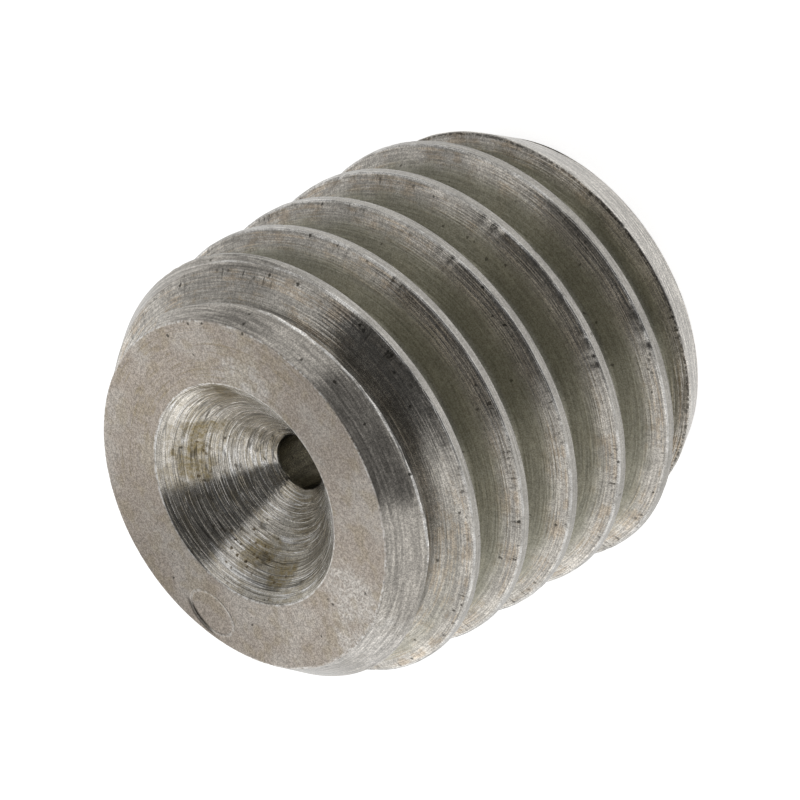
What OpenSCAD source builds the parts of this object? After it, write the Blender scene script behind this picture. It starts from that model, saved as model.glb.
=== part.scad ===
// Orifice restrictor screw: a headless threaded plug with a countersunk calibrated
// orifice in its outer face and a hexagon drive socket in its other end.
// It stands on the socket end, on the XY plane, with its axis on +Z.
// Lengths are millimetres.

/* [Thread] */
// Nominal thread diameter
thread_d = 8; // [7.5:0.05:9]
// Thread pitch
pitch = 1.25; // [1:0.05:1.4]
// How far the crests are turned under the nominal diameter
crest_relief = 0.06; // [0.04:0.01:0.2]
// Width of the flat along each crest
crest_flat = 0.155; // [0.1:0.005:0.22]
// Radius in the root of the thread
root_r = 0.18; // [0.14:0.005:0.2]
// Angle of the thread start about the axis
start_deg = 162.6; // [0:0.1:359.9]

/* [Body] */
// Length over both ends
body_l = 8; // [7:0.1:12]
// Diameter of the outer face
face_d = 6.45; // [6.2:0.01:6.6]
// Length of the lead chamfer behind the outer face
face_chamfer_l = 1.22; // [0.6:0.02:1.4]
// Diameter of the flat on the socket end
base_d = 6.6; // [6.4:0.01:6.7]
// Length of the lead chamfer at the socket end
base_chamfer_l = 1.24; // [0.6:0.02:1.4]

/* [Orifice] */
// Diameter of the orifice
orifice_d = 1; // [0.4:0.05:1.4]
// Diameter of the countersink at the outer face
sink_d = 4.1; // [3.6:0.02:4.6]
// Depth of the countersink
sink_l = 1.44; // [1.2:0.02:1.6]

/* [Drive socket] */
// Width across the flats of the hexagon socket
socket_af = 4; // [3.5:0.05:4.2]
// Depth of the hexagon
socket_l = 4; // [3:0.1:4.2]
// Diameter of the pilot hole drilled under the hexagon
pilot_d = 4.1; // [3.6:0.02:4.3]
// Depth of the pilot hole to the start of its drill point
pilot_l = 4.5; // [4.3:0.1:4.8]
// Included angle of the drill point
drill_point_deg = 118; // [110:2:140]
// Diameter of the lead-in bevel at the socket mouth
mouth_d = 4.9; // [4.7:0.02:5.2]

/* [Hidden] */
eps = 0.01;
round_fn = 96;
crest_r = (thread_d - crest_relief) / 2;

// sides of the thread form, which stand 30 degrees off the radius
flank_deg = 30;
flank_tan = tan(flank_deg);

// the sweep overshoots the crest, so the turned blank gives the crest its own surface
crest_over = 0.05;
sweep_crest_r = crest_r + crest_over;
sweep_flat = crest_flat - 2 * crest_over * flank_tan;

// the two flanks would meet here, below the root
apex_r = crest_r - (pitch - crest_flat) / 2 / flank_tan;
root_centre_r = apex_r + root_r / sin(flank_deg);

// steps around the root arc, around one turn and along the blank
root_steps = 4;
turn_steps = 60;
first_turn = -2;
last_turn = ceil(body_l / pitch) + 1;

// the root arc runs between its two points of contact with the flanks
function root_angle(i) = -90 + flank_deg + (180 - 2 * flank_deg) * i / root_steps;
function root_z(i) = pitch / 2 + root_r * sin(root_angle(i));
function root_radius(i) = root_centre_r - root_r * cos(root_angle(i));

// one pitch of the thread form as [z, radius], from the crest at z = 0 up to the next one
form = concat(
    [[-sweep_flat / 2, sweep_crest_r]],
    [[sweep_flat / 2, sweep_crest_r]],
    [for (i = [0 : root_steps]) [root_z(i), root_radius(i)]]
);
form_n = len(form);

// points up the blank at one angle, and all of them around it
turns = last_turn - first_turn;
column_n = turns * form_n;
function form_point(i, k) = let (
    turn = first_turn + floor(k / form_n),
    at = form[k % form_n],
    a = start_deg + 360 * i / turn_steps
) [
    at[1] * cos(a),
    at[1] * sin(a),
    at[0] + pitch * (turn + i / turn_steps)
];
sweep_points = concat(
    [for (i = [0 : turn_steps]) for (k = [0 : column_n - 1]) form_point(i, k)],
    [[0, 0, pitch * (first_turn - 1)], [0, 0, pitch * (last_turn + 1)]]
);
below = (turn_steps + 1) * column_n;
above = below + 1;
function at(i, k) = i * column_n + k;

// After one turn a column lies one pitch higher, on the points of the first column. The
// last column is drawn from the first one, and its top pitch from its own points.
function seam(i, k) = i < turn_steps ? at(i, k)
    : (k + form_n < column_n ? at(0, k + form_n) : at(i, k));

sweep_faces = concat(
    [for (i = [0 : turn_steps - 1]) for (k = [0 : column_n - 2])
        [seam(i, k), seam(i, k + 1), seam(i + 1, k + 1)]],
    [for (i = [0 : turn_steps - 1]) for (k = [0 : column_n - 2])
        [seam(i, k), seam(i + 1, k + 1), seam(i + 1, k)]],
    [for (i = [0 : turn_steps - 1]) [below, seam(i, 0), seam(i + 1, 0)]],
    [for (i = [0 : turn_steps - 1])
        [above, seam(i + 1, column_n - 1), seam(i, column_n - 1)]],
    [for (k = [0 : form_n - 1]) [below, at(0, k + 1), at(0, k)]],
    [for (k = [column_n - form_n : column_n - 1])
        [above, seam(turn_steps, k - 1), seam(turn_steps, k)]]
);

// the helical sweep, longer than the screw at both ends
module thread_sweep() {
    polyhedron(points = sweep_points, faces = sweep_faces, convexity = 10);
}

// the turned outside, with its lead chamfers
module blank() {
    rotate_extrude($fn = round_fn)
        polygon([
            [0, 0],
            [base_d / 2, 0],
            [crest_r, base_chamfer_l],
            [crest_r, body_l - face_chamfer_l],
            [face_d / 2, body_l],
            [0, body_l]
        ]);
}

// the cone that leads into the orifice, carried on above the face
module countersink() {
    slope = (sink_d - orifice_d) / 2 / sink_l;
    translate([0, 0, body_l - sink_l])
        cylinder(
            h = sink_l + eps,
            r1 = orifice_d / 2,
            r2 = sink_d / 2 + slope * eps,
            $fn = round_fn
        );
}

module orifice() {
    translate([0, 0, pilot_l])
        cylinder(h = body_l - sink_l - pilot_l + eps, r = orifice_d / 2, $fn = round_fn);
}

// the hexagon with its pilot hole, drill point and bevelled mouth
module drive_socket() {
    point_l = (pilot_d - orifice_d) / 2 / tan(drill_point_deg / 2);
    corner_r = socket_af / 2 / cos(30);
    mouth_l = (mouth_d / 2 - socket_af / 2) * tan(30);
    translate([0, 0, -eps])
        cylinder(h = socket_l + eps, r = corner_r, $fn = 6);
    translate([0, 0, -eps])
        cylinder(h = pilot_l + eps, r = pilot_d / 2, $fn = round_fn);
    translate([0, 0, pilot_l - eps])
        cylinder(h = point_l + eps, r1 = pilot_d / 2, r2 = orifice_d / 2, $fn = round_fn);
    translate([0, 0, -eps])
        cylinder(
            h = mouth_l + eps,
            r1 = mouth_d / 2,
            r2 = socket_af / 2,
            $fn = round_fn
        );
}

module restrictor_screw() {
    color([0.66, 0.64, 0.6])
        difference() {
            intersection() {
                blank();
                thread_sweep();
            }
            countersink();
            orifice();
            drive_socket();
        }
}

restrictor_screw();
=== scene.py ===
"""Looks of the orifice restrictor screw: a turned stainless screw body, M8 x 1.25, 8 mm long.

The skin of the whole screw is one closed mesh. Each column of it is the section of the screw at
one angle, worked out from the thread form, the turned blank and the bores, in millimetres.
"""
import math

import bmesh
import bpy
import numpy as np
from mathutils import Matrix, Vector


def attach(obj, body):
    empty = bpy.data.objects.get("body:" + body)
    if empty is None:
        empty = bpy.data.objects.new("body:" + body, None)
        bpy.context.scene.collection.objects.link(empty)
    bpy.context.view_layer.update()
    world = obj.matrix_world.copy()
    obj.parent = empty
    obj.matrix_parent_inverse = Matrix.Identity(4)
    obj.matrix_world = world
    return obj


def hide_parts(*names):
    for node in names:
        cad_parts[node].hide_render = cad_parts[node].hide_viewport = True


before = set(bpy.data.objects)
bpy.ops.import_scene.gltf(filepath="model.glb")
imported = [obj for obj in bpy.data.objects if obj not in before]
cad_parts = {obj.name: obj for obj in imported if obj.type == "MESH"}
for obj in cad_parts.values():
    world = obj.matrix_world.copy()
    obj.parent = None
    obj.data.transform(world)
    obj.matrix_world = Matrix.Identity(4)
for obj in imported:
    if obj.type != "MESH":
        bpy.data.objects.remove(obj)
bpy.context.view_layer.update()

MM = 0.001
WHITE = (1, 1, 1, 1)

# Thread and blank, in millimetres, as in the part's source
PITCH = 1.25
CREST_R = 3.97
CREST_FLAT = 0.155
ROOT_ARC_R = 0.18
START_TURN = 162.6 / 360
FLANK_DEG = 30
BODY_L = 8.0
FACE_R, FACE_CHAMFER_L = 3.225, 1.22
BASE_R, BASE_CHAMFER_L = 3.3, 1.24

# Bores
ORIFICE_R = 0.5
SINK_R, SINK_L = 2.05, 1.44
SOCKET_AF, SOCKET_L = 4.0, 4.0
PILOT_R, PILOT_L = 2.05, 4.5
DRILL_POINT_DEG = 118
MOUTH_R, MOUTH_DEG = 2.45, 30

# What follows from them
FACE_CHAMFER_START = BODY_L - FACE_CHAMFER_L
FACE_SLOPE = (CREST_R - FACE_R) / FACE_CHAMFER_L
BASE_SLOPE = (CREST_R - BASE_R) / BASE_CHAMFER_L
THROAT_Z = BODY_L - SINK_L
MOUTH_TAN = math.tan(math.radians(MOUTH_DEG))
FLANK_TAN = math.tan(math.radians(FLANK_DEG))
APEX_R = CREST_R - (PITCH - CREST_FLAT) / 2 / FLANK_TAN
ROOT_CENTRE_R = APEX_R + ROOT_ARC_R / math.sin(math.radians(FLANK_DEG))
CONTACT = ROOT_ARC_R * math.cos(math.radians(FLANK_DEG))

# Mesh: columns round the screw, and rows along its section as shares of each stretch
COLUMNS = 480
FIRST_RIDGE, LAST_RIDGE = -2, 8
LOWER_FLANK_ROWS, UPPER_FLANK_ROWS = (0.3, 0.65), (0.35, 0.7)
ROOT_ROWS = (0, 0.22, 0.5, 0.78, 1)
FACE_ROWS, BASE_ROWS = (0, 0.33, 0.66, 1), (0, 0.5, 1)
DRILL_ROWS, SOCKET_ROWS = (0.02, 0.5, 0.98), (0.7, 0.4)
SINK_ROWS = 36
EDGE = 0.02            # a turned edge is broken over this much on each side
EDGE_SAMPLES, EDGE_HALVINGS = 251, 30
MERGE_MM = 0.0012
TINY_AREA = 1e-20
SEED = 8125

# How far one pass of the cutter lies off the countersink's cone, how that changes around it,
# and the share of it along the radius, which is also the share along the axis
TOOL_STEP, TOOL_SWELL, TOOL_STEP_SHARE = (-0.003, 0.001), 0.5, 0.7

# Chips along the crest's two edges: columns to a chip, and depths in mm. They come in groups,
# and reach down the flank and onto the land with a share of their depth.
FRONT_CHIPS = (5, (0.002, 0.032))
REAR_CHIPS = (9, (0.002, 0.022))
CHIP_COLUMNS = (0.5, 2.0)
GROUP_SPACING, GROUP_DEPTH, GROUP_COLUMNS = 60, (0.4, 1.0), (6, 22)
LONE_CHIP, FULL_GROUP = 0.25, 0.9
CHIP_ON_FLANK, CHIP_ON_LAND = 0.6, 0.5

# The groove nearest the outer face, by its number from the base. Places along it are in turns.
# The ridge above it ends bluntly near one turn, and past that the groove runs straight out.
FIRST_GROOVE = 5
RIDGE_END_TURN, RIDGE_END_TURNS = 0.978, 0.016
RUNOUT_LIFT, RUNOUT_ROUND, RUNOUT_MIN_L = 0.004, 0.02, 0.05

# A thin burr on that ridge hangs over the groove. Its tip waves, by a size and a rate, and
# draws back where the crest is chipped.
BURR_FROM, BURR_FULL, BURR_FADE = 0.570, 0.650, 0.860
BURR_REACH, BURR_THICK, BURR_TIP_THICK = 0.090, 0.03, 0.004
BURR_WAVES = ((0.04, 61), (0.05, 211))
BURR_DRAWN_BACK = 7

# Where the edge of that burr lies, from the middle of the ridge, and how far it moves in a turn
BURR_EDGE_RISE = -PITCH * FACE_SLOPE / (FACE_SLOPE + 1 / FLANK_TAN)
BURR_EDGE_OFF = (
    (FACE_R - APEX_R + FACE_SLOPE * (BODY_L - PITCH * (FIRST_GROOVE + 0.5 - START_TURN)))
    / (FACE_SLOPE + 1 / FLANK_TAN) + BURR_EDGE_RISE - PITCH / 2 - BURR_REACH
)


# ---------------------------------------------------------------- section of the screw

def thread_radius(s):
    """Radius of the thread form at a height s from the middle of a groove."""
    s = np.abs(s)
    arc = ROOT_CENTRE_R - np.sqrt(np.maximum(ROOT_ARC_R ** 2 - np.minimum(s, CONTACT) ** 2, 0))
    return np.where(s < CONTACT, arc, APEX_R + s / FLANK_TAN)


def blank_radius(z):
    """Radius of the turned blank: the crest cylinder and a lead chamfer at each end."""
    return np.minimum.reduce([
        np.full_like(z, CREST_R),
        FACE_R + FACE_SLOPE * (BODY_L - z),
        BASE_R + BASE_SLOPE * z,
    ])


def soft_min(a, b, width):
    """The lower of a and b, rounded where they cross."""
    h = np.maximum(width - np.abs(a - b), 0) / width
    return np.minimum(a, b) - h * h * width / 4


def smooth(value, low, high):
    """A smooth step from 0, at low, to 1, at high."""
    share = np.clip((value - low) / (high - low), 0, 1)
    return share * share * (3 - 2 * share)


def outside_radius(z, turn):
    """Radius of the finished outside, with the edges between thread and blank broken.

    Past the blunt end of the first ridge, the groove runs straight out to the outer face."""
    off = z - PITCH * (0.5 + turn - START_TURN)
    off = (off + PITCH / 2) % PITCH - PITCH / 2
    radius = soft_min(thread_radius(off), blank_radius(z), EDGE / FLANK_TAN)

    run = np.where(turn < 0.5, turn + 1, turn)
    bottom = PITCH * (FIRST_GROOVE + 0.5 + run - START_TURN)
    bottom_r = ROOT_CENTRE_R - ROOT_ARC_R
    slope = (FACE_R - bottom_r) / np.maximum(BODY_L - bottom, RUNOUT_MIN_L)
    straight = bottom_r + RUNOUT_LIFT + slope * (z - bottom)
    ridge = 1 - smooth(run, RIDGE_END_TURN, RIDGE_END_TURN + RIDGE_END_TURNS)
    return np.where(z > bottom, soft_min(radius, straight + ridge, RUNOUT_ROUND), radius)


def burr_share(turn):
    """How much of the burr there is on the first ridge at each share of a turn."""
    return smooth(turn, BURR_FROM, BURR_FULL) * (1 - smooth(turn, BURR_FADE, RIDGE_END_TURN))


def groove_edges(mid):
    """Both edges of the groove about each height in mid, as offsets from it.

    Where the chamfer has cut the whole groove away, both are at its lowest point."""
    s = np.linspace(-PITCH / 2, PITCH / 2, EDGE_SAMPLES)
    gap = thread_radius(s)[None, :] - blank_radius(mid[:, None] + s[None, :])
    low = s[np.argmin(gap, axis=1)]
    open_here = gap.min(axis=1) < 0

    def edge(side):
        inner, outer = low.copy(), low + side * PITCH
        for _ in range(EDGE_HALVINGS):
            half = (inner + outer) / 2
            under = thread_radius(half) < blank_radius(mid + half)
            inner = np.where(under, half, inner)
            outer = np.where(under, outer, half)
        return np.where(open_here, (inner + outer) / 2, low)

    return edge(-1), edge(1)


def outside_rows(turn):
    """Radii and heights of the outside, from the base up to the outer face.

    turn holds each column's share of a turn. A groove's rows climb one pitch over the turn,
    so the last column lies on the first one, a groove further on."""
    mids = [PITCH * (k + 0.5 + turn - START_TURN) for k in range(FIRST_RIDGE, LAST_RIDGE)]
    edges = [groove_edges(mid) for mid in mids]
    front_chips, rear_chips = edge_wear(len(mids))
    heights, radii = [], []

    def add(z, chip=0.0):
        inside = (z > EDGE) & (z < BODY_L - EDGE)
        z = np.clip(z, EDGE, BODY_L - EDGE)
        heights.append(z)
        radii.append(outside_radius(z, turn) - np.where(inside, chip, 0.0))

    for n, mid in enumerate(mids):
        start, end = edges[n]
        step = np.minimum(EDGE, (end - start) / 4)
        chip = front_chips[n]
        low, high = start + 2 * step, end - 2 * step
        foot, top = np.clip(-CONTACT, low, high), np.clip(CONTACT, low, high)
        add(mid + start, chip)
        add(mid + start + step, chip)
        add(mid + low, chip * CHIP_ON_FLANK)
        for share in LOWER_FLANK_ROWS:
            add(mid + low + (foot - low) * share)
        for share in ROOT_ROWS:
            add(mid + foot + (top - foot) * share)
        for share in UPPER_FLANK_ROWS:
            add(mid + top + (high - top) * share)
        chip = rear_chips[n]
        add(mid + high, chip * CHIP_ON_FLANK)
        add(mid + end - step, chip)
        add(mid + end, chip)
        if n + FIRST_RIDGE == FIRST_GROOVE:
            share = burr_share(turn)
            ragged = 1 + sum(size * np.sin(turn * rate) for size, rate in BURR_WAVES)
            tip = mid + end - BURR_REACH * (ragged - BURR_DRAWN_BACK * chip)
            for row, thick in ((-2, BURR_THICK), (-1, BURR_TIP_THICK)):
                heights[row] = heights[row] + (tip - heights[row]) * share
                radii[row] = radii[row] + (blank_radius(tip) - thick - radii[row]) * share
        if n + 1 < len(mids):
            lower, upper = mid + end, mids[n + 1] + edges[n + 1][0]
            lip = np.minimum(EDGE, (upper - lower) / 4)
            corner = np.clip((lower + upper) / 2, BASE_CHAMFER_L, FACE_CHAMFER_START)
            add(lower + lip, chip * CHIP_ON_LAND)
            add(np.clip(corner, lower + lip * 1.5, upper - lip * 1.5))
            add(upper - lip, front_chips[n + 1] * CHIP_ON_LAND)
    return np.array(radii), np.array(heights)


# ---------------------------------------------------------------- wear along the crest edges

def chips(rng, length, spacing, depth, width):
    """Depth of small chips along an edge, one value per column, chips at random places."""
    at = np.arange(length)
    cut = np.zeros(length)
    for _ in range(int(length / spacing)):
        place, size = rng.uniform(0, length), rng.uniform(*width)
        cut = np.maximum(cut, rng.uniform(*depth) * np.exp(-((at - place) / size) ** 2))
    return cut


def edge_wear(ridges):
    """Chip depths along the two edges of the helical crest, as [ridge, column] tables."""
    rng = np.random.default_rng(SEED)
    tables = []
    length = ridges * COLUMNS + 1
    for spacing, depth in (FRONT_CHIPS, REAR_CHIPS):
        along = chips(rng, length, spacing, depth, CHIP_COLUMNS)
        groups = chips(rng, length, GROUP_SPACING, GROUP_DEPTH, GROUP_COLUMNS)
        along *= LONE_CHIP + np.minimum(groups, FULL_GROUP)
        tables.append(np.array([
            along[k * COLUMNS:(k + 1) * COLUMNS + 1] for k in range(ridges)
        ]))
    return tables


# ---------------------------------------------------------------- the closed section

def socket_radius(angle):
    """The hexagon, opened out to the pilot hole where that is wider."""
    sixth = math.pi / 3
    off_flat = (angle % sixth) - sixth / 2
    return np.maximum(SOCKET_AF / 2 / np.cos(off_flat), PILOT_R)


def broken(before, corner, after):
    """The middle of the small round that breaks a corner, between the rows on its two sides."""
    return tuple(c / 2 + (b + a) / 4 for b, c, a in zip(before, corner, after))


def sink_rows(turn):
    """The countersink from its rim to the orifice, with the steps that the cutter left."""
    rng = np.random.default_rng(SEED + 1)
    angle = 2 * math.pi * turn
    rows = []
    for radius in np.linspace(SINK_R - EDGE, ORIFICE_R + EDGE, SINK_ROWS):
        height = BODY_L - (SINK_R - radius) * SINK_L / (SINK_R - ORIFICE_R)
        swell = 1 + TOOL_SWELL * np.cos(angle + rng.uniform(0, 2 * math.pi))
        step = rng.uniform(*TOOL_STEP) * swell * TOOL_STEP_SHARE
        rows.append((radius - step, height + step))
    return rows


def bore_rows(turn, top_radius):
    """Radii and heights across the outer face, down the bores and across the base."""
    angle = 2 * math.pi * turn
    flat = np.ones_like(turn)
    rows = []

    def add(radius, height):
        rows.append((radius * flat, height * flat))

    shoulder = (top_radius, BODY_L - EDGE)
    rim = (top_radius - FACE_SLOPE * EDGE, BODY_L)
    inner = (rim[0] - EDGE, BODY_L)
    add(*broken(shoulder, rim, inner))
    for share in FACE_ROWS:
        add(inner[0] + (SINK_R + EDGE - inner[0]) * share, BODY_L)
    cone = sink_rows(turn)
    add(*broken((SINK_R + EDGE, BODY_L), (SINK_R, BODY_L), cone[0]))
    for radius, height in cone:
        add(radius, height)

    point_l = (PILOT_R - ORIFICE_R) / math.tan(math.radians(DRILL_POINT_DEG / 2))
    drill_top = PILOT_L + point_l
    add(*broken(cone[-1], (ORIFICE_R, THROAT_Z), (ORIFICE_R, THROAT_Z - EDGE)))
    for height in (THROAT_Z - EDGE, (THROAT_Z + drill_top) / 2, drill_top + EDGE):
        add(ORIFICE_R, height)
    for share in DRILL_ROWS:
        add(ORIFICE_R + (PILOT_R - ORIFICE_R) * share, drill_top - point_l * share)
    add(PILOT_R, PILOT_L - EDGE)
    add(PILOT_R, SOCKET_L + EDGE)

    wall = socket_radius(angle)
    add(PILOT_R, SOCKET_L)
    add(wall - EDGE * (wall - PILOT_R), SOCKET_L)
    add(wall, SOCKET_L - EDGE)
    mouth_top = (MOUTH_R - wall) * MOUTH_TAN
    for share in SOCKET_ROWS:
        add(wall, SOCKET_L * share)
    add(wall, mouth_top + EDGE)
    add(wall + EDGE / 2, mouth_top - EDGE * MOUTH_TAN / 2)
    add(MOUTH_R - EDGE, EDGE * MOUTH_TAN)
    add(*broken((MOUTH_R - EDGE, EDGE * MOUTH_TAN), (MOUTH_R, 0), (MOUTH_R + EDGE, 0)))
    for share in BASE_ROWS:
        add(MOUTH_R + EDGE + (BASE_R - MOUTH_R - 2 * EDGE) * share, 0)
    add(*broken((BASE_R - EDGE, 0), (BASE_R, 0), (BASE_R + BASE_SLOPE * EDGE, EDGE)))
    return rows


def screw_mesh():
    """The whole skin of the screw as one closed mesh, columns round it and rows along it."""
    turn = np.arange(COLUMNS + 1) / COLUMNS
    radii, heights = outside_rows(turn)
    inner = bore_rows(turn, radii[-1])
    radii = np.vstack([radii, [row[0] for row in inner]])
    heights = np.vstack([heights, [row[1] for row in inner]])
    rows = len(radii)

    angle = 2 * math.pi * turn
    points = np.stack([radii * np.cos(angle), radii * np.sin(angle), heights], axis=-1)
    index = np.arange(rows * (COLUMNS + 1)).reshape(rows, COLUMNS + 1)
    above = np.roll(index, -1, axis=0)
    quads = np.stack(
        [index[:, :-1], index[:, 1:], above[:, 1:], above[:, :-1]], axis=-1
    ).reshape(-1, 4)

    mesh = bpy.data.meshes.new("restrictor_screw_skin")
    mesh.from_pydata((points.reshape(-1, 3) * MM).tolist(), [], quads.tolist())
    work = bmesh.new()
    work.from_mesh(mesh)
    bmesh.ops.remove_doubles(work, verts=work.verts, dist=MERGE_MM * MM)
    bmesh.ops.dissolve_degenerate(work, edges=work.edges, dist=MERGE_MM * MM / 10)
    bmesh.ops.recalc_face_normals(work, faces=work.faces)
    work.to_mesh(mesh)
    work.free()
    return mesh


def weighted_normals(mesh):
    """Smooth shading in which the large faces beside a broken edge keep their own slope."""
    count = len(mesh.vertices)
    mesh.calc_loop_triangles()
    corners = np.zeros(len(mesh.loop_triangles) * 3, int)
    mesh.loop_triangles.foreach_get("vertices", corners)
    corners = corners.reshape(-1, 3)
    places = np.zeros(count * 3)
    mesh.vertices.foreach_get("co", places)
    places = places.reshape(-1, 3)
    a, b, c = (places[corners[:, n]] for n in range(3))
    areas = np.cross(b - a, c - a)
    total = np.zeros((count, 3))
    for n in range(3):
        np.add.at(total, corners[:, n], areas)
    total /= np.maximum(np.linalg.norm(total, axis=1, keepdims=True), TINY_AREA)
    mesh.shade_smooth()
    mesh.normals_split_custom_set_from_vertices(total.tolist())


# ---------------------------------------------------------------- node helper

class Graph:
    """A node tree that is built one call a node. Every call returns the node's output."""

    def __init__(self, owner):
        owner.use_nodes = True
        self.tree = owner.node_tree
        self.tree.nodes.clear()

    def node(self, kind, inputs=None, output=0, **settings):
        made = self.tree.nodes.new(kind)
        for name, value in settings.items():
            setattr(made, name, value)
        for slot, value in (inputs or {}).items():
            if isinstance(value, bpy.types.NodeSocket):
                self.tree.links.new(value, made.inputs[slot])
            else:
                made.inputs[slot].default_value = value
        return made.outputs[output] if len(made.outputs) else None

    def math(self, operation, *values):
        return self.node("ShaderNodeMath", dict(enumerate(values)), operation=operation)

    def chain(self, operation, values):
        """One operation carried on over several values."""
        result, *others = values
        for value in others:
            result = self.math(operation, result, value)
        return result

    def add(self, *values):
        return self.chain("ADD", values)

    def times(self, *values):
        return self.chain("MULTIPLY", values)

    def least(self, *values):
        return self.chain("MINIMUM", values)

    def most(self, *values):
        return self.chain("MAXIMUM", values)

    def minus(self, value, taken):
        return self.math("SUBTRACT", value, taken)

    def over(self, value, divisor):
        return self.math("DIVIDE", value, divisor)

    def less(self, *shares):
        """What the shares leave of 1."""
        return self.minus(1.0, self.add(*shares))

    def off(self, value, middle):
        """How far a value is from a middle, on either side of it."""
        return self.math("ABSOLUTE", self.minus(value, middle))

    def length(self, a, b):
        """How long a step is that goes a one way and b square to it."""
        return self.math("SQRT", self.add(self.times(a, a), self.times(b, b)))

    def vector(self, operation, *values, output=0):
        return self.node("ShaderNodeVectorMath", dict(enumerate(values)), output,
                         operation=operation)

    def dot(self, a, b):
        return self.vector("DOT_PRODUCT", a, b, output="Value")

    def combine(self, x, y, z):
        return self.node("ShaderNodeCombineXYZ", {0: x, 1: y, 2: z})

    def apart(self, vector):
        """The x, y and z of a vector."""
        return tuple(self.node("ShaderNodeSeparateXYZ", {0: vector}).node.outputs)

    def step(self, value, low, high, at_low=0.0, at_high=1.0):
        """A smooth step from at_low, at low, to at_high, at high."""
        return self.node(
            "ShaderNodeMapRange",
            {"Value": value, "From Min": low, "From Max": high,
             "To Min": at_low, "To Max": at_high},
            interpolation_type="SMOOTHSTEP",
        )

    def noise(self, place, scale, detail, rough, shift=0.0):
        """A noise about 0.5. The shift sets it apart from others of the same scale."""
        if shift:
            place = self.vector("ADD", place, (shift, 2 * shift, 3 * shift))
        return self.node(
            "ShaderNodeTexNoise",
            {"Vector": place, "Scale": scale, "Detail": detail, "Roughness": rough},
        )

    def mix(self, share, a, b, blend="MIX"):
        return self.node("ShaderNodeMix", {0: share, 6: a, 7: b}, 2,
                         data_type="RGBA", blend_type=blend)

    def paint(self, color, tint, *shares):
        """color with tint over it, where and as far as all the shares let it show."""
        return self.mix(self.times(*shares), color, tint)


# ---------------------------------------------------------------- the steel: where things lie

# Ragged patches as (x, y, z) and radius: rubbed bright on the face, stained in the countersink
RUBBED = (((1.66, -1.50, 8.0), 0.50), ((-2.49, -1.08, 8.0), 0.62), ((-3.40, -0.60, 7.7), 0.80))
STAINED = (
    ((1.31, 0.82, 7.54), 0.32), ((1.10, 1.10, 7.54), 0.36), ((0.87, 1.29, 7.54), 0.32),
    ((1.19, 0.50, 7.32), 0.24), ((-1.05, 1.05, 7.47), 0.36), ((-1.42, 0.66, 7.54), 0.32),
    ((1.70, -0.62, 7.80), 0.30),
)
SPECKLED = ((-0.84, 1.18, 7.52), 0.66)
PATCH_FRAY, PATCH_EDGE = 3.2, (1.30, 0.50)

# An oval dent on the outer face, with half its length and width. Its rim, which gets a painted
# highlight, its painted shade on one side and its hollow are given in shares of its own reach.
MARK_AT = (-1.47, 2.32, 8.0)
MARK_HALF_L, MARK_HALF_W = 0.50, 0.33
MARK_DEG = 25
MARK_RIM, MARK_SHADE, MARK_HOLLOW = (0.085, 0.03), (0.26, 0.10), (1.0, 0.9)
MARK_SIDE_LEAN, MARK_SIDE = 0.45, (0.75, 1.0)

# Regions of the skin. A pair holds where a region starts and where it is in full, in mm.
# off_crest is the distance along the axis from the middle of a ridge, and depth is the
# distance in from the turned blank.
UNDER_FACE_Z = (BODY_L - 0.004, BODY_L - 0.012)
FACE_INNER_R = (SINK_R - 0.01, SINK_R + 0.01)
SINK_OUTER_R, SINK_Z = (SINK_R, SINK_R - 0.01), (6.5, 6.55)
BORE_OUTER_R, BORE_Z = (ORIFICE_R + 0.02, ORIFICE_R), (6.62, 6.5)
OUTSIDE_R = (3.06, 3.10)
CREST_DEPTH = (0.035, 0.015)
CYLINDER_R = (CREST_R - 0.03, CREST_R - 0.01)
FACE_CHAMFER_Z = (FACE_CHAMFER_START, FACE_CHAMFER_START + 0.1)
BASE_CHAMFER_Z = (BASE_CHAMFER_L, BASE_CHAMFER_L - 0.05)
FIRST_GROOVE_Z = (6.45, 6.85)
FACE_RIM_R = FACE_R - 0.015
RIM_OFF, RIM_Z = (0.026, 0.010), (BODY_L - 0.06, BODY_L - 0.03)
# The crest's front lip and the burr's edge get painted highlights, the crease painted shade
LIP_LOW, LIP_HIGH, LIP_R = (0.050, 0.065), (0.110, 0.090), (3.82, 3.88)
OUTER_DEPTH, EDGE_STRIP_DEPTH = (0.26, 0.08), (0.20, 0.10)
ROOT_DEPTH, ROOT_FRAY = (0.24, 0.56), 0.20
BURR_EDGE_LOW, BURR_EDGE_HIGH = (-0.02, 0.0), (0.055, 0.030)
BURR_EDGE_NORTH, BURR_EDGE_EAST = (-0.2, -0.5), (0.90, 0.60)
CREASE_HIGH, CREASE_LOW, CREASE_EAST = (0.395, 0.435), (-0.10, -0.15), (0.95, 0.60)
CREASE_BEND, CREASE_FRAY = 0.10, 0.05
BASE_BURR_LOW, BASE_BURR_HIGH, BASE_BURR_Z = (0.015, 0.035), (0.10, 0.06), (1.5, 1.3)


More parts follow.
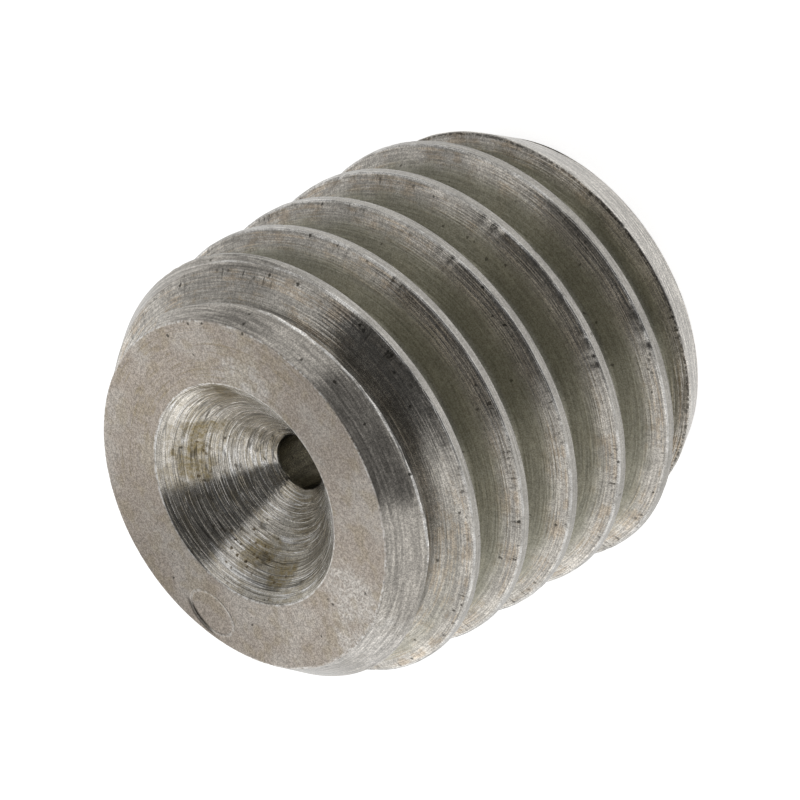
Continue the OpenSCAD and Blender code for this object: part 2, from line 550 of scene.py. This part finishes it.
class Skin:
    """Where a point of the skin lies on the screw, as fields for the steel's nodes, in mm."""

    def __init__(self, g):
        self.g = g
        place = g.node("ShaderNodeTexCoord", output="Object")
        self.place = g.vector("MULTIPLY", place, (1 / MM, 1 / MM, 1 / MM))
        x, y, self.z = g.apart(self.place)
        self.radius = g.length(x, y)
        self.east = g.over(x, self.radius)
        self.north = g.over(y, self.radius)
        self.turn = g.over(g.math("ARCTAN2", y, x), 2 * math.pi)
        helix = g.minus(g.over(self.z, PITCH), self.turn)
        helix = g.math("FRACT", g.add(helix, START_TURN + 0.5))
        self.off_crest = g.times(g.minus(helix, 0.5), PITCH)
        chamfer = g.add(FACE_R + FACE_SLOPE * BODY_L, g.times(self.z, -FACE_SLOPE))
        blank = g.least(CREST_R, chamfer, g.add(BASE_R, g.times(self.z, BASE_SLOPE)))
        self.depth = g.minus(blank, self.radius)

        under_face = g.step(self.z, *UNDER_FACE_Z)
        self.on_face = g.times(g.step(under_face, 1.0, 0.0), g.step(self.radius, *FACE_INNER_R))
        self.in_sink = g.times(g.step(self.radius, *SINK_OUTER_R), g.step(self.z, *SINK_Z))
        self.in_bore = g.times(g.step(self.radius, *BORE_OUTER_R), g.step(self.z, *BORE_Z))
        self.outside = g.times(g.step(self.radius, *OUTSIDE_R), under_face)
        self.crest = g.times(self.outside, g.step(self.depth, *CREST_DEPTH))
        self.flank = g.minus(self.outside, self.crest)
        self.cylinder = g.times(self.crest, g.step(self.radius, *CYLINDER_R))
        self.line_at = g.add(self.radius, g.times(self.cylinder, self.off_crest))
        self.first_groove = g.step(self.z, *FIRST_GROOVE_Z)
        self.face_rim_highlight = self.rim(FACE_RIM_R)
        self.sink_rim_highlight = self.rim(SINK_R)

    def rim(self, radius):
        """A turned edge of that radius round the outer face, where a highlight is painted."""
        g = self.g
        return g.times(g.step(g.off(self.radius, radius), *RIM_OFF), g.step(self.z, *RIM_Z))

    def front_lip_highlight(self):
        """The front edge of the helical crest, where a highlight is painted."""
        g = self.g
        lip = g.times(g.step(self.off_crest, *LIP_LOW), g.step(self.off_crest, *LIP_HIGH))
        return g.times(lip, g.step(self.radius, *LIP_R))

    def burr_edge_highlight(self):
        """The edge of the burr that hangs over the first groove, where a highlight is painted.
        """
        g = self.g
        tip = g.add(BURR_EDGE_OFF, g.times(self.turn, BURR_EDGE_RISE))
        off = g.minus(self.off_crest, tip)
        line = g.times(g.step(off, *BURR_EDGE_LOW), g.step(off, *BURR_EDGE_HIGH))
        line = g.times(line, self.first_groove, g.step(self.north, *BURR_EDGE_NORTH))
        return g.times(line, g.step(self.east, *BURR_EDGE_EAST))

    def crease_shade(self, lumps):
        """Painted shade on the strips of the first groove that lie hidden under the burr and
        below the ridge.
        """
        g = self.g
        under = g.minus(self.off_crest, g.times(g.times(self.north, self.north), CREASE_BEND))
        under = g.add(under, g.times(g.minus(lumps, 0.5), CREASE_FRAY))
        both = g.most(g.step(under, *CREASE_HIGH), g.step(self.off_crest, *CREASE_LOW))
        return g.times(both, self.first_groove, g.step(self.east, *CREASE_EAST), self.flank)

    def base_burr(self):
        """A thin strip beside the crest on the ridges nearest the base."""
        g = self.g
        strip = g.times(g.step(self.depth, *BASE_BURR_LOW), g.step(self.depth, *BASE_BURR_HIGH))
        return g.times(strip, g.step(self.z, *BASE_BURR_Z))

    def lines(self, width, drift, shift, detail):
        """Turning marks: noise that is narrow across the cut and long around it."""
        g = self.g
        across = g.over(self.line_at, width)
        north = g.add(g.times(self.north, drift), g.times(self.z, LINES_RISE))
        where = g.combine(g.times(self.east, drift), north, across)
        return g.noise(where, 1.0, detail, LINES_ROUGH, shift)

    def grain(self, size, shift, detail):
        """Speckle that is as long as it is wide."""
        return self.g.noise(self.place, 1 / size, detail, GRAIN_ROUGH, shift)

    def ticks(self, size):
        """Tears across the cut: noise that is narrow around the screw and long up a flank."""
        g = self.g
        around = CREST_R / size
        where = g.combine(g.times(self.east, around), g.times(self.north, around),
                          g.times(self.z, TICKS_RISE))
        return g.noise(where, 1.0, TICKS_DETAIL, LINES_ROUGH)

    def spots(self, spacing, size, shares, ragged):
        """Scattered spots, about one to a cell of that spacing, for each of the shares.

        A share of 1 has them in every cell. The noise ragged makes their outline uneven."""
        g = self.g
        cells = g.node(
            "ShaderNodeTexVoronoi",
            {"Vector": g.vector("ADD", self.place, SPOTS_SHIFT), "Scale": 1 / spacing},
        ).node.outputs
        away = g.add(cells["Distance"], g.times(g.minus(ragged, 0.5), SPOTS_FRAY))
        near = g.step(away, size / spacing, size / spacing * SPOTS_CORE)
        picked = g.node("ShaderNodeSeparateColor", {0: cells["Color"]})
        return [g.times(near, g.math("LESS_THAN", picked, share)) for share in shares]

    def patch(self, centre, reach, ragged):
        """A patch about a point, with an edge that the noise ragged frays."""
        g = self.g
        away = g.over(g.vector("DISTANCE", self.place, centre, output="Value"), reach)
        away = g.add(away, g.times(g.minus(ragged, 0.5), PATCH_FRAY))
        return g.step(away, *PATCH_EDGE)

    def patches(self, places, ragged):
        """The union of several patches."""
        return self.g.most(0.0, *(self.patch(*place, ragged) for place in places))

    def oval_mark(self):
        """The rim of the oval dent, where a highlight is painted, its side with painted shade,
        and its hollow.
        """
        g = self.g
        off = g.vector("SUBTRACT", self.place, MARK_AT)
        c, s = math.cos(math.radians(MARK_DEG)), math.sin(math.radians(MARK_DEG))
        u = g.over(g.dot(off, (c, s, 0)), MARK_HALF_L)
        v = g.over(g.dot(off, (-s, c, 0)), MARK_HALF_W)
        reach = g.length(u, v)
        off_rim = g.off(reach, 1.0)
        side = g.step(g.add(g.times(u, MARK_SIDE_LEAN), v), *MARK_SIDE)
        return (
            g.times(g.step(off_rim, *MARK_RIM), self.on_face),
            g.times(g.step(off_rim, *MARK_SHADE), side, self.on_face),
            g.times(g.step(reach, *MARK_HOLLOW), self.on_face),
        )


# ---------------------------------------------------------------- the steel: marks and colours

STEEL = (0.450, 0.425, 0.385, 1)
CREST_TINT = (0.395, 0.378, 0.348, 1)
# Painted highlight on the rim of the oval dent
DENT_RIM_HIGHLIGHT_TINT = (0.62, 0.61, 0.58, 1)
FACE_TINT = (0.385, 0.338, 0.292, 1)
FACE_PALE = (0.540, 0.515, 0.480, 1)
FACE_BROWN = (0.330, 0.275, 0.185, 1)
SINK_TINT = (0.562, 0.529, 0.473, 1)
# Olive: a stain with painted shade in the groove roots, painted shade in the bore and on one
# side of the countersink
OLIVE_STAIN_AND_SHADE_TINT = (0.295, 0.286, 0.228, 1)
CHAMFER_TINT = (0.365, 0.342, 0.308, 1)
# The base chamfer painted lighter, a painted reflection
BASE_REFLECTION_TINT = (0.605, 0.580, 0.540, 1)
# Painted highlights on turned rims, the crest's front lip, the burr's edge, thin rings and one
# side of the countersink
HIGHLIGHT_TINT = (0.780, 0.770, 0.750, 1)
BRONZE_TINT = (0.360, 0.295, 0.220, 1)
STAIN_TINT = (0.225, 0.180, 0.095, 1)
SPECK_TINT = (0.110, 0.080, 0.040, 1)
# Pits, tears and other dark marks, and painted shade in the crease and on one side of the oval
# dent
PIT_AND_SHADE_TINT = (0.040, 0.036, 0.028, 1)

# Turning marks: width across the cut in mm, changes around the screw, shift and detail
FINE_LINES = (0.024, 6.0, 0.0, 0.0)
LONG_LINES = (0.030, 2.0, 2.0, 1.0)
RINGS = (0.050, 0.7, 11.0, 1.0)
BRIGHT_RINGS = (0.045, 0.6, 17.0, 0.0)
DARK_RINGS = (0.070, 0.8, 23.0, 0.0)
LINES_RISE, LINES_ROUGH = 0.4, 0.6

# Grain: size in mm, shift and detail
SPECKLE = (0.022, 0.0, 0.0)
LUMPS = (0.070, 2.0, 1.0)
BLOTCH = (0.38, 6.0, 1.0)
CLOUD = (1.1, 3.7, 2.0)
RAGGED = (0.50, 8.0, 3.0)
GRAIN_ROUGH = 0.7

# Tears across the cut, and spots of which some are deep pits
TICKS_SIZE, TICKS_RISE, TICKS_DETAIL = 0.075, 3.0, 2.0
SPOTS_SPACING, SPOTS_SIZE, SPOTS_SHIFT = 0.125, 0.036, (4, 4, 4)
SPOTS_CORE, SPOTS_FRAY = 0.5, 0.6
DOTS_PICKED, PITS_PICKED = 0.70, 0.04

# How strong the marks are. A pair holds the value of a noise at which a mark starts to show
# and the one at which it shows in full. Where two more follow, they are its share at each.
FACE_CLOUDS, FACE_CLOUDS_SHARE = (0.46, 0.64), 0.35
RUBBED_LUMPS, RUBBED_LAND_SHARE = (0.35, 0.60, 0.30, 0.75), 0.8
ARC_WIDTH, ARC_EAST, ARC_RAGGED, ARC_SHARE = 0.05, (0.1, 0.6), (0.42, 0.55), 0.40
FACE_BLOTCHES, FACE_BLOTCHES_SHARE = (0.50, 0.66), 0.35

SINK_RINGS = (0.80, 1.16)
# One side of the countersink gets a painted highlight and another side painted shade
SINK_HIGHLIGHT_NORTH, SINK_HIGHLIGHT_SHARE = (-0.35, -0.75), 0.95
SINK_SHADE_EAST, SINK_SHADE_SHARE = (-0.65, -0.90), 0.25
WASH, WASH_SHARE, WASH_RAGGED, WASH_RINGS = (0.51, 0.58), 0.55, 0.7, 0.3
STAIN_LUMPS = (0.35, 0.65, 0.58, 0.95)
# Thin bright rings in the countersink are painted glints
BRIGHT_RING_WIDTH, BRIGHT_RING_BLOTCH = 0.060, (0.36, 0.54, 0.10, 1.0)
BRIGHT_RING_OVER_STAIN = (0.0, 1.0, 0.75, 0.30)
DARK_RING_WIDTH, DARK_RING_CLOUD, DARK_RING_SHARE = 0.045, (0.40, 0.55, 0.2, 1.0), 0.60
DOTS_IN_STAIN, DOTS_ELSEWHERE = 0.75, 0.15

LIP_RAGGED, BURR_EDGE_RAGGED = (0.40, 0.60, 0.10, 0.55), (0.38, 0.56, 0.10, 0.65)
THREAD_CLOUDS = (0.86, 1.12)
BRONZE, BRONZE_RAGGED, BRONZE_LINES = (0.49, 0.60), 0.6, 0.4
BRONZE_NORTH = (-0.97, -0.85, 0.20, 0.65)
# The share of the olive stain and painted shade in the roots, and how much less of it the first
# groove gets
ROOT_SHARE, ROOT_IN_FIRST_GROOVE = 0.90, (0.0, 1.0, 1.0, 0.15)
TEARS, TEARS_CLOUD, TEARS_LUMPS, TEARS_SHARE = (0.57, 0.64), (0.47, 0.58), (0.42, 0.50), 0.80
TORN_SPOTS_CLOUD = (0.44, 0.56, 0.10, 0.75)
CREASE_SHARE = 0.48
BASE_BURR_LUMPS, BASE_BURR_SHARE = (0.45, 0.54), 0.75

# How much of the turning marks the face, the countersink, the crests and the roots do without,
# and how much of the grain
FACE_BARE, SINK_BARE, CREST_BARE, ROOT_BARE, ROOT_BARE_HEIGHT = 0.85, 0.70, 0.35, 0.50, 0.60
ROOT_NO_GRAIN, SINK_NO_GRAIN, CREST_NO_GRAIN = 0.25, 0.3, 0.40

# The greys that the marks multiply the colour by
FINE_GREYS, LONG_GREYS = (0.83, 1.18), (0.88, 1.13)
SPECKLE_GREYS, LUMPS_GREYS = (0.78, 1.23), (0.86, 1.14)
GREY_SPAN = (0.3, 0.7)
THIN_CORE = 0.3        # the share of a thin line's width that shows in full

BORE_SHARE, PITS_SHARE = 0.8, 0.8
EDGE_LUMPS, EDGE_RAGGED = (0.35, 0.60), (0.42, 0.56, 0.15, 0.75)
MARK_RIM_LUMPS, MARK_SHADE_SHARE = (0.38, 0.60, 0.05, 0.50), 0.75

ROUGH, ROUGH_FACE, ROUGH_LUMPS, ROUGH_ROOT = 0.21, 0.19, 0.08, 0.12

# Relief, in shares of BUMP_MM
BUMP_MM = 0.02
FINE_HEIGHT, LONG_HEIGHT = 0.23, 0.24
RINGS_HEIGHT, CUT_WIDTH, CUT_HEIGHT = 0.35, 0.05, 0.30
SPECKLE_HEIGHT, SPECKLE_FACE_HEIGHT = 0.02, 0.13
LUMPS_HEIGHT, LUMPS_CREST_HEIGHT = 0.03, 0.10
HOLLOW_HEIGHT, MARK_RIM_HEIGHT = -0.9, 0.4


class Marks:
    """The noises and spots that the steel's colour and relief share."""

    def __init__(self, skin):
        self.fine = skin.lines(*FINE_LINES)
        self.long = skin.lines(*LONG_LINES)
        self.rings = skin.lines(*RINGS)
        self.bright_rings = skin.lines(*BRIGHT_RINGS)
        self.dark_rings = skin.lines(*DARK_RINGS)
        self.speckle = skin.grain(*SPECKLE)
        self.lumps = skin.grain(*LUMPS)
        self.blotch = skin.grain(*BLOTCH)
        self.cloud = skin.grain(*CLOUD)
        self.ragged = skin.grain(*RAGGED)
        self.ticks = skin.ticks(TICKS_SIZE)
        self.dots, self.pits = skin.spots(
            SPOTS_SPACING, SPOTS_SIZE, (DOTS_PICKED, PITS_PICKED), self.lumps)
        self.rubbed = skin.patches(RUBBED, self.ragged)


def shaded(g, color, value, low, high, share=1.0):
    """color times a grey that runs from low to high as value, a noise, does."""
    grey = g.step(value, *GREY_SPAN, low - 1, high - 1)
    grey = g.add(g.times(grey, share), 1.0)
    return g.mix(1.0, color, g.combine(grey, grey, grey), "MULTIPLY")


def thin_lines(g, value, width):
    """Thin lines where value, a smooth noise, crosses its middle."""
    return g.step(g.off(value, 0.5), width, width * THIN_CORE)


def face_color(g, skin, marks):
    """The outer face: matt, with rubbed patches and a few brown arcs."""
    color = g.paint(FACE_TINT, FACE_PALE, g.step(marks.cloud, *FACE_CLOUDS), FACE_CLOUDS_SHARE)
    color = g.paint(color, FACE_PALE, marks.rubbed, g.step(marks.lumps, *RUBBED_LUMPS))
    arcs = g.times(thin_lines(g, marks.dark_rings, ARC_WIDTH), g.step(skin.east, *ARC_EAST))
    arcs = g.times(arcs, g.step(marks.ragged, *ARC_RAGGED))
    color = g.paint(color, STAIN_TINT, arcs, ARC_SHARE)
    blotches = g.step(marks.blotch, *FACE_BLOTCHES)
    return g.paint(color, FACE_BROWN, blotches, FACE_BLOTCHES_SHARE)


def sink_color(g, skin, marks):
    """The countersink: painted highlights in thin bright rings and on one side, painted shade
    on another side, and thin dark rings over a stained and speckled cone.
    """
    color = shaded(g, SINK_TINT, marks.rings, *SINK_RINGS)
    # Painted highlight: the side of the countersink toward -y is painted pale.
    color = g.paint(color, HIGHLIGHT_TINT, g.step(skin.north, *SINK_HIGHLIGHT_NORTH), SINK_HIGHLIGHT_SHARE)
    # Painted shade: the side of the countersink toward -x is darkened with the olive tint.
    color = g.paint(color, OLIVE_STAIN_AND_SHADE_TINT, g.step(skin.east, *SINK_SHADE_EAST), SINK_SHADE_SHARE)

    stain = skin.patches(STAINED, marks.ragged)
    wash = g.add(g.times(marks.ragged, WASH_RAGGED), g.times(marks.rings, WASH_RINGS))
    wash = g.times(g.step(wash, *WASH), WASH_SHARE)
    color = g.paint(color, STAIN_TINT, g.most(stain, wash), g.step(marks.lumps, *STAIN_LUMPS))

    # Painted highlights: thin bright rings in the countersink stand for glints on the cutter's
    # ridges.
    bright = g.times(thin_lines(g, marks.bright_rings, BRIGHT_RING_WIDTH),
                     g.step(marks.blotch, *BRIGHT_RING_BLOTCH))
    color = g.paint(color, HIGHLIGHT_TINT, bright, g.step(stain, *BRIGHT_RING_OVER_STAIN))
    dark = g.times(thin_lines(g, marks.dark_rings, DARK_RING_WIDTH),
                   g.step(marks.cloud, *DARK_RING_CLOUD))
    color = g.paint(color, PIT_AND_SHADE_TINT, dark, DARK_RING_SHARE)

    speckled = g.most(stain, skin.patch(*SPECKLED, marks.ragged))
    speckled = g.add(g.times(speckled, DOTS_IN_STAIN), DOTS_ELSEWHERE)
    return g.paint(color, SPECK_TINT, marks.dots, speckled)


def thread_color(g, skin, marks, root):
    """The thread: grey crests with a painted highlight on the front lip, brown and torn flanks,
    olive roots that are partly stain and partly painted shade.
    """
    land = g.mix(g.step(skin.z, *FACE_CHAMFER_Z), CREST_TINT, CHAMFER_TINT)
    land = g.paint(land, FACE_PALE, marks.rubbed, RUBBED_LAND_SHARE)
    # Painted reflection: the base chamfer is painted lighter.
    land = g.paint(land, BASE_REFLECTION_TINT, g.step(skin.z, *BASE_CHAMFER_Z))
    color = g.mix(skin.crest, shaded(g, STEEL, marks.cloud, *THREAD_CLOUDS), land)

    bronze = g.add(g.times(marks.ragged, BRONZE_RAGGED), g.times(marks.long, BRONZE_LINES))
    bronze = g.times(g.step(bronze, *BRONZE), skin.flank)
    color = g.paint(color, BRONZE_TINT, bronze, g.step(skin.north, *BRONZE_NORTH))
    # Olive down in the grooves: partly a stain, partly painted shade; little in the first
    # groove, which is lit.
    color = g.paint(color, OLIVE_STAIN_AND_SHADE_TINT, root, ROOT_SHARE)

    torn = g.less(marks.cloud)
    tears = g.times(g.step(marks.ticks, *TEARS), g.step(torn, *TEARS_CLOUD),
                    g.step(marks.lumps, *TEARS_LUMPS))
    tears = g.times(tears, g.times(g.step(skin.depth, *OUTER_DEPTH), skin.flank))
    edge_strip = g.times(g.step(skin.depth, *EDGE_STRIP_DEPTH), skin.flank)
    torn_spots = g.times(marks.dots, edge_strip, g.step(torn, *TORN_SPOTS_CLOUD))
    color = g.paint(color, PIT_AND_SHADE_TINT, g.most(tears, torn_spots), TEARS_SHARE)

    # Painted highlights along the crest's front lip and the burr's edge.
    lip = g.times(skin.front_lip_highlight(), g.step(marks.ragged, *LIP_RAGGED))
    burr_edge_highlight = g.times(skin.burr_edge_highlight(), g.step(marks.ragged, *BURR_EDGE_RAGGED))
    color = g.paint(color, HIGHLIGHT_TINT, g.most(lip, burr_edge_highlight))
    # Painted shade in the crease under the burr and below the ridge of the first groove.
    color = g.paint(color, PIT_AND_SHADE_TINT, skin.crease_shade(marks.lumps), CREASE_SHARE)
    base_burr = g.times(skin.base_burr(), g.step(marks.lumps, *BASE_BURR_LUMPS))
    return g.paint(color, PIT_AND_SHADE_TINT, base_burr, BASE_BURR_SHARE)


def steel():
    """The one material of the screw: turned, worn and stained stainless steel, with painted
    highlights and painted shade.
    """
    material = bpy.data.materials.new("turned_steel")
    g = Graph(material)
    skin = Skin(g)
    marks = Marks(skin)
    rim, shade, hollow = skin.oval_mark()

    # How far down a groove a point lies, for the olive stain and painted shade of the roots.
    root = g.step(g.add(skin.depth, g.times(marks.blotch, ROOT_FRAY)), *ROOT_DEPTH)
    root = g.times(root, skin.flank, g.step(skin.first_groove, *ROOT_IN_FIRST_GROOVE))
    bare = g.add(g.times(skin.on_face, FACE_BARE), g.times(skin.in_sink, SINK_BARE),
                 g.times(skin.cylinder, CREST_BARE))
    turned = g.less(g.add(bare, g.times(root, ROOT_BARE)))
    grainy = g.less(g.times(root, ROOT_NO_GRAIN), g.times(skin.in_sink, SINK_NO_GRAIN),
                    g.times(skin.cylinder, CREST_NO_GRAIN))

    color = g.paint(STEEL, thread_color(g, skin, marks, root), skin.outside)
    color = g.paint(color, face_color(g, skin, marks), skin.on_face)
    color = g.paint(color, sink_color(g, skin, marks), skin.in_sink)
    # Painted shade: the inside of the orifice bore is darkened with the olive tint.
    color = g.paint(color, OLIVE_STAIN_AND_SHADE_TINT, skin.in_bore, BORE_SHARE)
    color = shaded(g, color, marks.fine, *FINE_GREYS, turned)
    color = shaded(g, color, marks.long, *LONG_GREYS, turned)
    color = shaded(g, color, marks.speckle, *SPECKLE_GREYS, grainy)
    color = shaded(g, color, marks.lumps, *LUMPS_GREYS, grainy)
    color = g.paint(color, PIT_AND_SHADE_TINT, marks.pits, grainy, PITS_SHARE)
    # Painted highlights along the turned rims of the outer face and the countersink.
    edge = g.times(g.most(skin.face_rim_highlight, skin.sink_rim_highlight), g.step(marks.lumps, *EDGE_LUMPS))
    color = g.paint(color, HIGHLIGHT_TINT, edge, g.step(marks.ragged, *EDGE_RAGGED))
    # A painted highlight on the dent's rim and painted shade on one side of it.
    color = g.paint(color, DENT_RIM_HIGHLIGHT_TINT, rim, g.step(marks.lumps, *MARK_RIM_LUMPS))
    color = g.paint(color, PIT_AND_SHADE_TINT, shade, MARK_SHADE_SHARE)

    rough = g.add(ROUGH, g.times(skin.on_face, ROUGH_FACE))
    rough = g.add(rough, g.times(g.minus(marks.lumps, 0.5), ROUGH_LUMPS))
    rough = g.add(rough, g.times(root, ROUGH_ROOT))

    deep = g.times(g.step(skin.depth, *ROOT_DEPTH), skin.flank)
    lined = g.less(g.add(bare, g.times(deep, ROOT_BARE_HEIGHT)))
    lines = g.add(g.times(marks.fine, FINE_HEIGHT), g.times(marks.long, LONG_HEIGHT))
    cut = g.add(g.times(marks.rings, RINGS_HEIGHT),
                g.times(thin_lines(g, marks.rings, CUT_WIDTH), CUT_HEIGHT))
    speckle_height = g.add(g.times(skin.on_face, SPECKLE_FACE_HEIGHT), SPECKLE_HEIGHT)
    lumps_height = g.add(g.times(skin.cylinder, LUMPS_CREST_HEIGHT), LUMPS_HEIGHT)
    height = g.add(
        g.times(lines, lined), g.times(cut, skin.in_sink),
        g.times(marks.speckle, speckle_height), g.times(marks.lumps, lumps_height),
        g.times(hollow, HOLLOW_HEIGHT), g.times(rim, MARK_RIM_HEIGHT),
    )

    bump = g.node("ShaderNodeBump",
                  {"Strength": 1.0, "Distance": BUMP_MM * MM, "Height": height})
    tangent = g.node("ShaderNodeTangent", direction_type="RADIAL", axis="Z")
    shader = g.node("ShaderNodeBsdfPrincipled", {
        "Base Color": color, "Roughness": rough, "Normal": bump, "Tangent": tangent,
        "Metallic": 1.0, "Anisotropic": 0.8, "Anisotropic Rotation": 0.25,
    })
    g.node("ShaderNodeOutputMaterial", {"Surface": shader})
    return material


# ---------------------------------------------------------------- floor, light and camera

FLOOR_HALF = 1.5
FLOOR_GREY = (0.62, 0.62, 0.62, 1)
FLOOR_SEEN, FLOOR_MIRRORED = 0.80, 0.60     # its own light, as seen directly and in the metal

# The dark zone lies about the camera's direction, leaning to one side as it rises
DARK_TOWARDS = Vector((0, -0.643, 0.766))
DARK_ALONG = Vector((0, 0.766, 0.643))
DARK_WEST_WIDTH, DARK_HALF_LENGTH = 0.55, 0.98
DARK_EAST_WIDTH, DARK_EAST_TAPER = 0.475, 0.12
DARK_WEST_EDGE, DARK_EAST_EDGE, DARK_SEAM = (1.12, 0.80), (1.12, 0.85), (-0.05, 0.05)
DARK_OFFSET, DARK_LEAN = -0.03, 0.30
DARK_AHEAD, DARK_SHARES = (0.0, 0.2), (-0.45, -0.1, 0.60, 0.88)
DARK_SHOULDER = Vector((-0.40, -0.85, 0.34))
SHOULDER_EDGE, SHOULDER_SHARE = (0.90, 0.95), 0.72
DIM_TOWARDS = Vector((0.86, 0.42, 0.30))
DIM_EDGE, DIM_SHARE = (0.70, 0.95), 0.30
EVEN_LIGHT, WEST_LIGHT, BEHIND_LIGHT = 0.70, 0.20, 0.88
LIGHT_LEVEL = 1.1


def add_floor():
    """A white floor that glows a little, so that it stays white beside the dark metal."""
    mesh = bpy.data.meshes.new("floor")
    corners = ((-1, -1), (1, -1), (1, 1), (-1, 1))
    mesh.from_pydata([(x * FLOOR_HALF, y * FLOOR_HALF, 0) for x, y in corners],
                     [], [(0, 1, 2, 3)])
    floor = bpy.data.objects.new("floor", mesh)
    bpy.context.scene.collection.objects.link(floor)
    material = bpy.data.materials.new("floor_white")
    g = Graph(material)
    path = g.node("ShaderNodeLightPath").node.outputs
    mirrored = g.most(path["Is Glossy Ray"], path["Is Transmission Ray"])
    strength = g.most(g.times(path["Is Camera Ray"], FLOOR_SEEN),
                      g.times(mirrored, FLOOR_MIRRORED))
    glow = g.node("ShaderNodeEmission", {"Color": WHITE, "Strength": strength})
    matte = g.node("ShaderNodeBsdfDiffuse", {"Color": FLOOR_GREY})
    both = g.node("ShaderNodeAddShader", {0: matte, 1: glow})
    g.node("ShaderNodeOutputMaterial", {"Surface": both})
    mesh.materials.append(material)


def add_world():
    """Even studio light with a dark zone where the camera and its stand would be."""
    world = bpy.data.worlds.new("studio")
    bpy.context.scene.world = world
    g = Graph(world)
    toward = g.node("ShaderNodeTexCoord")
    x, y, z = g.apart(toward)

    along = g.dot(toward, DARK_ALONG)
    end = g.over(along, DARK_HALF_LENGTH)
    lean = g.add(g.times(along, DARK_LEAN), DARK_OFFSET)
    west_off = g.length(g.over(g.minus(x, lean), DARK_WEST_WIDTH), end)
    east = g.over(x, g.add(DARK_EAST_WIDTH, g.times(along, -DARK_EAST_TAPER)))
    east_off = g.add(*(g.math("POWER", g.math("ABSOLUTE", part), 4.0) for part in (east, end)))
    east_off = g.math("SQRT", g.math("SQRT", east_off))
    seam = g.step(x, *DARK_SEAM)
    dark = g.add(g.times(g.step(west_off, *DARK_WEST_EDGE), g.less(seam)),
                 g.times(g.step(east_off, *DARK_EAST_EDGE), seam))
    dark = g.times(dark, g.step(g.dot(toward, DARK_TOWARDS), *DARK_AHEAD),
                   g.step(along, *DARK_SHARES))
    shoulder = g.step(g.dot(toward, DARK_SHOULDER), *SHOULDER_EDGE)
    dark = g.most(dark, g.times(shoulder, SHOULDER_SHARE))

    west, behind = g.most(g.times(x, -1), 0.0), g.most(y, 0.0)
    low = g.times(g.times(behind, behind), g.less(z))
    level = g.add(EVEN_LIGHT, g.times(west, WEST_LIGHT), g.times(low, BEHIND_LIGHT))
    dim = g.step(g.dot(toward, DIM_TOWARDS), *DIM_EDGE)
    level = g.minus(level, g.times(dim, DIM_SHARE))
    level = g.times(level, g.less(dark), LIGHT_LEVEL)
    light = g.node("ShaderNodeBackground", {"Color": WHITE, "Strength": level})
    white = g.node("ShaderNodeBackground", {"Color": WHITE, "Strength": 1.0})
    camera_ray = g.node("ShaderNodeLightPath", output="Is Camera Ray")
    both = g.node("ShaderNodeMixShader", {0: camera_ray, 1: light, 2: white})
    g.node("ShaderNodeOutputWorld", {"Surface": both})


AIM = Vector((0.054, 0.0, 3.938)) * MM
DISTANCE = 637.8 * MM
ELEVATION_DEG = 40.007
ROLL_DEG = -120.28
LENS_MM = 1677.3
SENSOR_MM = 36
CLIP_NEAR, CLIP_FAR = 0.05, 10


def add_camera():
    """A long lens, as in the picture: the axis runs away to the upper right."""
    e, roll = math.radians(ELEVATION_DEG), math.radians(ROLL_DEG)
    back = Vector((0, -math.cos(e), math.sin(e)))
    level_right, level_up = Vector((1, 0, 0)), Vector((0, math.sin(e), math.cos(e)))
    right = level_right * math.cos(roll) + level_up * math.sin(roll)
    up = back.cross(right)
    data = bpy.data.cameras.new("camera")
    data.sensor_width = SENSOR_MM
    data.lens = LENS_MM
    data.clip_start, data.clip_end = CLIP_NEAR, CLIP_FAR
    camera = bpy.data.objects.new("camera", data)
    bpy.context.scene.collection.objects.link(camera)
    place = AIM + back * DISTANCE
    camera.matrix_world = Matrix((
        (right.x, up.x, back.x, place.x),
        (right.y, up.y, back.y, place.y),
        (right.z, up.z, back.z, place.z),
        (0, 0, 0, 1),
    ))
    bpy.context.scene.camera = camera


# ---------------------------------------------------------------- the scene

skin = screw_mesh()
weighted_normals(skin)
skin.materials.append(steel())
screw = bpy.data.objects.new("screw_body", skin)
bpy.context.scene.collection.objects.link(screw)
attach(screw, "root")
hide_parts("restrictor_screw")

add_floor()
add_world()
add_camera()
bpy.context.scene.view_settings.view_transform = "Standard"
